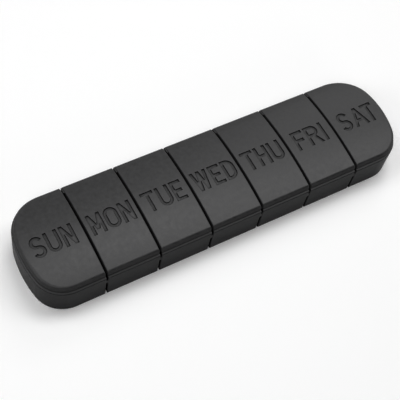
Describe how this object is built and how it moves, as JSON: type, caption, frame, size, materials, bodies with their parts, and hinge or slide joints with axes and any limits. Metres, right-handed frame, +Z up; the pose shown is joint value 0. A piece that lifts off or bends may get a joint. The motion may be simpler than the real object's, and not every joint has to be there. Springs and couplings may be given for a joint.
{
  "type": "weekly pill organizer",
  "caption": "Long low pill box with rounded ends: a tray of cups in a row under vaulted, hinged lids, each lid engraved with its weekday.",
  "frame": {"origin": "middle of the underside, on the table", "axes": "+X along the row from Sunday to Saturday, -Y to the side where the lids open, +Z up"},
  "size_m": [0.1826, 0.0466, 0.02],
  "materials": {
    "tray_plastic": "fine satin grain, black",
    "lid_plastic": "fine satin grain, black",
    "pin_steel": "drawn bright steel wire"
  },
  "bodies": {
    "box": {"tray": "tray_plastic", "hinge_pin_sunday": "pin_steel", "hinge_pin_monday": "pin_steel", "hinge_pin_tuesday": "pin_steel", "hinge_pin_wednesday": "pin_steel", "hinge_pin_thursday": "pin_steel", "hinge_pin_friday": "pin_steel", "hinge_pin_saturday": "pin_steel"},
    "sunday_lid": {"lid_sunday": "lid_plastic"},
    "monday_lid": {"lid_monday": "lid_plastic"},
    "tuesday_lid": {"lid_tuesday": "lid_plastic"},
    "wednesday_lid": {"lid_wednesday": "lid_plastic"},
    "thursday_lid": {"lid_thursday": "lid_plastic"},
    "friday_lid": {"lid_friday": "lid_plastic"},
    "saturday_lid": {"lid_saturday": "lid_plastic"}
  },
  "joints": [
    {"name": "sunday_hinge", "type": "hinge", "parent": "box", "child": "sunday_lid", "pos_m": [-0.075, 0.02175, 0.01265], "axis": [-1, 0, 0], "range_deg": [0, 105]},
    {"name": "monday_hinge", "type": "hinge", "parent": "box", "child": "monday_lid", "pos_m": [-0.05, 0.02175, 0.01265], "axis": [-1, 0, 0], "range_deg": [0, 105]},
    {"name": "tuesday_hinge", "type": "hinge", "parent": "box", "child": "tuesday_lid", "pos_m": [-0.025, 0.02175, 0.01265], "axis": [-1, 0, 0], "range_deg": [0, 105]},
    {"name": "wednesday_hinge", "type": "hinge", "parent": "box", "child": "wednesday_lid", "pos_m": [0, 0.02175, 0.01265], "axis": [-1, 0, 0], "range_deg": [0, 105]},
    {"name": "thursday_hinge", "type": "hinge", "parent": "box", "child": "thursday_lid", "pos_m": [0.025, 0.02175, 0.01265], "axis": [-1, 0, 0], "range_deg": [0, 105]},
    {"name": "friday_hinge", "type": "hinge", "parent": "box", "child": "friday_lid", "pos_m": [0.05, 0.02175, 0.01265], "axis": [-1, 0, 0], "range_deg": [0, 105]},
    {"name": "saturday_hinge", "type": "hinge", "parent": "box", "child": "saturday_lid", "pos_m": [0.075, 0.02175, 0.01265], "axis": [-1, 0, 0], "range_deg": [0, 105]}
  ]
}
